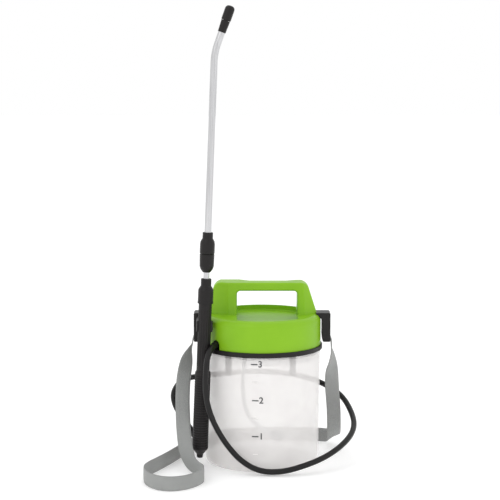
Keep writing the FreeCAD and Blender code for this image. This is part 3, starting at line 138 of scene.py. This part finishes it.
# %% Shoulder strap
STRAP_ROUTE = [
    # place, then the direction of the width
    (-0.0890, 0, 0.1798, 0, 1, 0), (-0.0972, 0, 0.1794, 0, 1, 0), (-0.0980, 0, 0.1680, 0, 1, 0),
    (-0.1015, -0.002, 0.160, 0.3, 1, 0),
    (-0.1070, -0.009, 0.142, 0.9, 0.6, 0), (-0.1105, -0.020, 0.121, 1, 0.2, 0), (-0.1115, -0.034, 0.098, 1, 0, 0),
    (-0.1105, -0.049, 0.074, 1, 0, 0), (-0.1085, -0.063, 0.050, 1, 0, 0.1), (-0.1050, -0.075, 0.029, 1, -0.1, 0.4),
    (-0.0980, -0.086, 0.015, 0.6, -0.2, 1), (-0.0870, -0.098, 0.0108, 0, 0, 1), (-0.0790, -0.113, 0.0104, 0, 0, 1),
    (-0.0800, -0.131, 0.0104, 0, 0, 1), (-0.0890, -0.150, 0.0104, 0, 0, 1), (-0.1040, -0.166, 0.0104, 0, 0, 1),
    (-0.1230, -0.1725, 0.0104, 0, 0, 1), (-0.1420, -0.164, 0.0104, 0, 0, 1), (-0.1560, -0.143, 0.0104, 0, 0, 1),
    (-0.1615, -0.118, 0.0104, 0, 0, 1), (-0.1575, -0.097, 0.0104, 0, 0, 1), (-0.1460, -0.073, 0.0104, 0, 0, 1),
    (-0.1320, -0.041, 0.0104, 0, 0, 1), (-0.1190, -0.006, 0.0104, 0, 0, 1), (-0.1060, 0.030, 0.0104, 0, 0, 1),
    (-0.0860, 0.066, 0.0104, 0, 0, 1), (-0.0550, 0.092, 0.0104, 0, 0, 1), (-0.0180, 0.104, 0.0104, 0, 0, 1),
    (0.0220, 0.105, 0.0104, 0, 0, 1), (0.0560, 0.1035, 0.0104, 0, 0, 1), (0.0840, 0.100, 0.0106, 0.1, 0.1, 1),
    (0.1010, 0.090, 0.0115, 0.5, 0.3, 0.8), (0.1060, 0.072, 0.0125, 0.9, 0, 0.4), (0.1058, 0.054, 0.032, 1, 0, 0.1),
    (0.1044, 0.042, 0.064, 1, 0, 0), (0.1012, 0.031, 0.095, 1, 0, 0), (0.0998, 0.018, 0.121, 0.9, 0.4, 0),
    (0.0995, 0.007, 0.142, 0.5, 0.9, 0), (0.0986, 0.0015, 0.156, 0.1, 1, 0), (0.0980, 0, 0.1680, 0, 1, 0),
    (0.0972, 0, 0.1794, 0, 1, 0), (0.0890, 0, 0.1798, 0, 1, 0),
]
STRAP_WIDTH, STRAP_THICK = 0.020, 0.0016


def strap_width_at(share):
    """The direction of the band's width at a share of its line."""
    last = len(STRAP_ROUTE) - 1
    marks = [0] + [(i - 0.5) / (last - 1) for i in range(1, last)] + [1]
    for i in range(last):
        if share <= marks[i + 1]:
            part = (share - marks[i]) / (marks[i + 1] - marks[i])
            low, high = Vector(STRAP_ROUTE[i][3:]).normalized(), Vector(STRAP_ROUTE[i + 1][3:]).normalized()
            return low.lerp(high, part)
    return Vector(STRAP_ROUTE[-1][3:])


def woven_band(name, points, width, thick):
    """A band with a rounded section: 9 points across its face, thinner towards the selvedges."""
    mesh, across_count = bmesh.new(), 8
    rows = []
    uv = mesh.loops.layers.uv.new("band")
    run = [0.0]
    for a, b in zip(points, points[1:]):
        run.append(run[-1] + (a - b).length)
    for i, point in enumerate(points):
        along = (points[min(i + 1, len(points) - 1)] - points[max(i - 1, 0)]).normalized()
        across = strap_width_at(i / (len(points) - 1))
        across = (across - along * across.dot(along)).normalized()
        out = along.cross(across)
        row = []
        for side in (1, -1):
            for k in range(across_count + 1):
                u = (2 * k / across_count - 1) * side
                half = thick / 2 * (1 - 0.45 * abs(u) ** 6)
                row.append(mesh.verts.new(point + across * (u * width / 2) + out * (half * side)))
        rows.append(row)
    count = len(rows[0])
    for i, (near, far) in enumerate(zip(rows, rows[1:])):
        for k in range(count):
            j = (k + 1) % count
            face = mesh.faces.new((near[k], near[j], far[j], far[k]))
            next_k = j or count
            corners = ((k, i), (next_k, i), (next_k, i + 1), (k, i + 1))
            for loop, (column, r) in zip(face.loops, corners):
                loop[uv].uv = (column * width / across_count, run[r])
            face.smooth = True
    mesh.faces.new(reversed(rows[0]))
    mesh.faces.new(rows[-1])
    bmesh.ops.recalc_face_normals(mesh, faces=mesh.faces)
    data = bpy.data.meshes.new(name)
    mesh.to_mesh(data)
    mesh.free()
    item = bpy.data.objects.new(name, data)
    scene.collection.objects.link(item)
    return item


strap_points = line_points(STRAP_ROUTE)
strap = woven_band("strap_band", strap_points, STRAP_WIDTH, STRAP_THICK)
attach(strap, "lid")
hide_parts("shoulder_strap")

# %% [markdown]
# Materials are written as expressions. A socket is wrapped in a small class, so that adding or multiplying two
# sockets adds the Math node that does it.

# %% A small language for shader nodes


class Socket:
    def __init__(self, tree, socket):
        self.tree, self.socket = tree, socket

    def math(self, operation, other, swapped=False):
        first, second = (other, self) if swapped else (self, other)
        return self.tree.node("ShaderNodeMath", {"operation": operation}, [first, second])

    def __add__(self, other):
        return self.math("ADD", other)

    __radd__ = __add__

    def __sub__(self, other):
        return self.math("SUBTRACT", other)

    def __rsub__(self, other):
        return self.math("SUBTRACT", other, True)

    def __mul__(self, other):
        return self.math("MULTIPLY", other)

    __rmul__ = __mul__

    def __getitem__(self, name):
        return Socket(self.tree, self.socket.node.outputs[name])


class Finish:
    """A material with one Principled shader; node() adds any other node."""

    def __init__(self, name, **values):
        self.material = bpy.data.materials.new(name)
        self.material.use_nodes = True
        self.nodes, self.links = self.material.node_tree.nodes, self.material.node_tree.links
        self.shader = self.nodes["Principled BSDF"]
        self.set(**values)

    def node(self, kind, settings=None, inputs=()):
        item = self.nodes.new(kind)
        for key, value in (settings or {}).items():
            if key == "stops":
                ramp = item.color_ramp.elements
                while len(ramp) < len(value):
                    ramp.new(0.5)
                for element, (place, colour) in zip(ramp, value):
                    element.position, element.color = place, (*colour, 1)
            else:
                setattr(item, key, value)
        pairs = inputs.items() if isinstance(inputs, dict) else enumerate(inputs)
        for key, value in pairs:
            self.join(item.inputs[key], value)
        return Socket(self, item.outputs[0])

    def join(self, socket, value):
        if isinstance(value, Socket):
            self.links.new(value.socket, socket)
        else:
            socket.default_value = value

    def set(self, **values):
        for name, value in values.items():
            self.join(self.shader.inputs[name.replace("_", " ").title().replace("Ior", "IOR")], value)
        return self

    def place(self):
        return self.node("ShaderNodeTexCoord")["Object"]

    def noise(self, scale, detail=3.0, rough=0.5):
        return self.node("ShaderNodeTexNoise", {}, {"Vector": self.place(), "Scale": scale, "Detail": detail,
                                                    "Roughness": rough})

    def between(self, mask, low, high):
        return self.node("ShaderNodeValToRGB", {"stops": [(0.3, low), (0.7, high)]}, [mask])

    def bump(self, height, strength, distance):
        values = {"Height": height, "Strength": strength, "Distance": distance}
        return self.set(normal=self.node("ShaderNodeBump", {}, values))


# %% [markdown]
# The cover and the handle are moulded in a bright green polypropylene: a soft satin sheen, a faint flow mottling and
# a very fine grain from the mould. Black parts share that grain, with scuffs that change the roughness only.

# %% Moulded plastics


def moulded(name, low, high, rough, grain=0.25):
    finish = Finish(name, specular_ior_level=0.28)
    flow = finish.noise(18)
    finish.set(base_color=finish.between(flow, low, high))
    finish.set(roughness=finish.noise(160, 4) * 0.16 + (rough - 0.08))
    return finish.bump(finish.noise(2600, 2), grain, 0.00006)


green = moulded("green_plastic", (0.205, 0.445, 0.008), (0.238, 0.490, 0.012), 0.40)
black = moulded("black_plastic", (0.007, 0.006, 0.006), (0.012, 0.010, 0.010), 0.42)
grey = moulded("grey_plastic", (0.30, 0.31, 0.32), (0.36, 0.37, 0.38), 0.45)

# %% [markdown]
# The tank is blown from natural polyethylene. It is milky: what is behind it shows only as a pale shadow. Real
# scattering is slow and noisy. A near-white with an alpha of about 0.4 is seen through two walls and gives much the
# same look in every view. Waves left by the blowing show in the gloss.

# %% Milky tank
milky = Finish("tank_plastic", roughness=0.32, specular_ior_level=0.5)
waves = milky.noise(22, 2)
milky.set(base_color=milky.between(waves, (0.95, 0.925, 0.915), (0.99, 0.970, 0.960)))
milky.set(alpha=waves * 0.06 + 0.36)
milky.bump(milky.noise(9, 2) + milky.noise(55, 2) * 0.15, 0.25, 0.004)

# %% [markdown]
# Rubber and hose are darker and duller, with a fine bloom. The tubes are drawn aluminium: the streaks run along the
# tube, so the noise is stretched along Z. Webbing is a plain weave, made from two crossed waves on the band's UVs.

# %% Rubber, hose, metals, webbing
rubber = moulded("soft_rubber", (0.007, 0.006, 0.006), (0.013, 0.011, 0.011), 0.52, 0.4)
hose_skin = moulded("hose_black", (0.005, 0.005, 0.005), (0.010, 0.009, 0.009), 0.36, 0.2)


def drawn_metal(name, low, high, rough):
    finish = Finish(name, metallic=1.0)
    stretched = finish.node("ShaderNodeMapping", {}, {"Vector": finish.place(), "Scale": (900, 900, 14)})
    streaks = finish.node("ShaderNodeTexNoise", {}, {"Vector": stretched, "Scale": 1.0, "Detail": 3.0})
    finish.set(base_color=finish.between(streaks, low, high), roughness=streaks * 0.2 + (rough - 0.1))
    return finish.bump(streaks, 0.12, 0.00005)


aluminium = drawn_metal("aluminium", (0.50, 0.50, 0.51), (0.66, 0.66, 0.67), 0.30)
steel = drawn_metal("steel", (0.52, 0.52, 0.53), (0.62, 0.62, 0.63), 0.32)
brass = drawn_metal("brass", (0.56, 0.42, 0.17), (0.66, 0.51, 0.23), 0.30)
clear = Finish("clear_tube", roughness=0.25)
clear.set(base_color=clear.between(clear.noise(90), (0.74, 0.76, 0.77), (0.84, 0.85, 0.85)))
clear.set(alpha=clear.noise(60) * 0.1 + 0.6)
wrap = moulded("cell_wrap", (0.03, 0.03, 0.035), (0.05, 0.05, 0.06), 0.3)

webbing = Finish("webbing", sheen_weight=0.25, sheen_roughness=0.5, specular_ior_level=0.25)
uv_map = webbing.node("ShaderNodeUVMap", {"uv_map": "band"})


def thread_wave(direction, pitch):
    """Threads side by side: the wave texture repeats every 0.3142 units at a scale of one."""
    wave = webbing.node("ShaderNodeTexWave", {"bands_direction": direction, "wave_profile": "SIN"},
                        {"Vector": uv_map, "Scale": 0.3142 / pitch})
    return wave["Fac"]


warp, weft = thread_wave("X", 0.0011), thread_wave("Y", 0.0014)
weave = warp * weft + (1 - warp) * (1 - weft)
fibre = webbing.noise(1500, 2)
shade = weave * 0.45 + fibre * 0.35 + webbing.noise(40, 2) * 0.2
webbing.set(base_color=webbing.between(shade, (0.200, 0.205, 0.200), (0.400, 0.408, 0.400)))
webbing.set(roughness=fibre * 0.15 + 0.72)
webbing.bump(weave, 0.6, 0.00035)

# %% [markdown]
# Each CAD node keeps its shape and takes the finish of its slot in the record. The hose and the strap take theirs
# from the same table.

# %% Finishes on the nodes
FINISHES = {
    "tank_plastic": milky, "green_plastic": green, "black_plastic": black, "soft_rubber": rubber,
    "grey_plastic": grey, "steel": steel, "motor_steel": steel, "aluminium": aluminium, "cell_wrap": wrap,
    "brass": brass, "clear_tube": clear, "hose_black": hose_skin, "webbing": webbing,
}
for part in frame["record"]["subparts"]:
    item = nodes[part["node"]]
    item.data.materials.clear()
    item.data.materials.append(FINISHES[part["material_slot"]].material)
hose.data.materials.append(FINISHES["hose_black"].material)
strap.data.materials.append(FINISHES["webbing"].material)
print("finishes:", len(FINISHES))

# %% [markdown]
# The litre scale is printed in black on the tank's front. Every mark starts as a flat shape and is then bent round
# the tank: a point's sideways distance becomes an angle. It stands a tenth of a millimetre off the wall.

# %% Litre scale
ink = Finish("scale_ink", roughness=0.5)
ink.set(base_color=ink.between(ink.noise(300), (0.030, 0.030, 0.034), (0.055, 0.055, 0.060)))
faint_ink = Finish("faint_ink", roughness=0.5)
faint_ink.set(base_color=faint_ink.between(faint_ink.noise(300), (0.55, 0.54, 0.53), (0.62, 0.61, 0.60)))


TANK_RADIUS_LOW, TANK_FLARE, TANK_HIGH = 0.0800, 0.0025, 0.158
INK_STANDOFF = 0.00012


def wall_radius(z):
    """The tank's outside radius at a height, with the thickness of the ink."""
    return TANK_RADIUS_LOW + TANK_FLARE * z / TANK_HIGH + INK_STANDOFF


def round_the_tank(name, flat, across, height, finish):
    """Bends a flat mesh round the tank; its origin lands at the given place."""
    for vertex in flat.vertices:
        z = height + vertex.co.y
        radius = wall_radius(z)
        angle = math.radians(-90) + (across + vertex.co.x) / radius
        vertex.co = (radius * math.cos(angle), radius * math.sin(angle), z)
    item = bpy.data.objects.new(name, flat)
    scene.collection.objects.link(item)
    flat.materials.clear()
    flat.materials.append(finish.material)
    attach(item, "tank")
    return item


def mark(width, height):
    """A flat tick, cut into short strips so that it can be bent."""
    mesh, steps = bmesh.new(), 10
    for i in range(steps + 1):
        for y in (-height / 2, height / 2):
            mesh.verts.new((width * i / steps, y, 0))
    mesh.verts.ensure_lookup_table()
    for i in range(steps):
        mesh.faces.new([mesh.verts[k] for k in (2 * i, 2 * i + 2, 2 * i + 3, 2 * i + 1)])
    flat = bpy.data.meshes.new("mark")
    mesh.to_mesh(flat)
    mesh.free()
    return flat


def digit(text, size):
    """A flat digit, slightly thickened."""
    letters = bpy.data.curves.new("digit", "FONT")
    letters.body, letters.size, letters.resolution_u = text, size, 6
    letters.align_y, letters.offset = "CENTER", 0.00022
    item = bpy.data.objects.new("digit", letters)
    scene.collection.objects.link(item)
    flat = bpy.data.meshes.new_from_object(item)
    bpy.data.objects.remove(item)
    return flat


LITRE_HEIGHTS = ((1, 0.0516), (2, 0.1020), (3, 0.1525))
HALF_HEIGHTS = (0.0267, 0.0772, 0.1275)
for litres, height in LITRE_HEIGHTS:
    left = -0.016 if litres == 3 else -0.0145
    round_the_tank(f"tick_{litres}", mark(0.0092, 0.0016), left, height, ink)
    round_the_tank(f"digit_{litres}", digit(str(litres), 0.0124), left + 0.0098, height, ink)
for count, height in enumerate(HALF_HEIGHTS):
    round_the_tank(f"half_tick_{count}", mark(0.0066, 0.0008), -0.0130, height, faint_ink)

# %% [markdown]
# A plain pale floor and soft light from large areas: one key from the upper left, a fill from the right and a wide
# light from above. The background is white, and the floor glows slightly so that its far edge melts into it.

# %% Floor and light
floor_mesh = bmesh.new()
bmesh.ops.create_grid(floor_mesh, x_segments=2, y_segments=2, size=14)
floor_data = bpy.data.meshes.new("floor")
floor_mesh.to_mesh(floor_data)
floor_mesh.free()
floor = bpy.data.objects.new("floor", floor_data)
scene.collection.objects.link(floor)
floor.location.z = -0.0003
pale = Finish("pale_floor", roughness=0.9, specular_ior_level=0.1, emission_color=(1, 1, 1, 1),
              emission_strength=0.16)
pale.set(base_color=pale.between(pale.noise(0.6), (0.93, 0.93, 0.93), (0.95, 0.95, 0.95)))
floor.data.materials.append(pale.material)

world = bpy.data.worlds.new("white_room")
scene.world = world
world.use_nodes = True
world.node_tree.nodes["Background"].inputs["Color"].default_value = (1, 1, 1, 1)
world.node_tree.nodes["Background"].inputs["Strength"].default_value = 1.0
scene.view_settings.view_transform = "Standard"


LIGHT_TARGET = Vector((0, 0, 0.2))


def area_light(name, place, size, power):
    data = bpy.data.lights.new(name, "AREA")
    data.size, data.energy = size, power
    item = bpy.data.objects.new(name, data)
    scene.collection.objects.link(item)
    item.location = place
    item.rotation_euler = (LIGHT_TARGET - Vector(place)).to_track_quat("-Z", "Y").to_euler()


area_light("key_light", (-1.4, -1.8, 1.9), 1.4, 8)
area_light("fill_light", (1.8, -1.4, 1.2), 1.6, 3)
area_light("top_light", (0.1, 0.5, 2.4), 1.8, 4)

# %% A last update of the scene, and the end
bpy.context.view_layer.update()
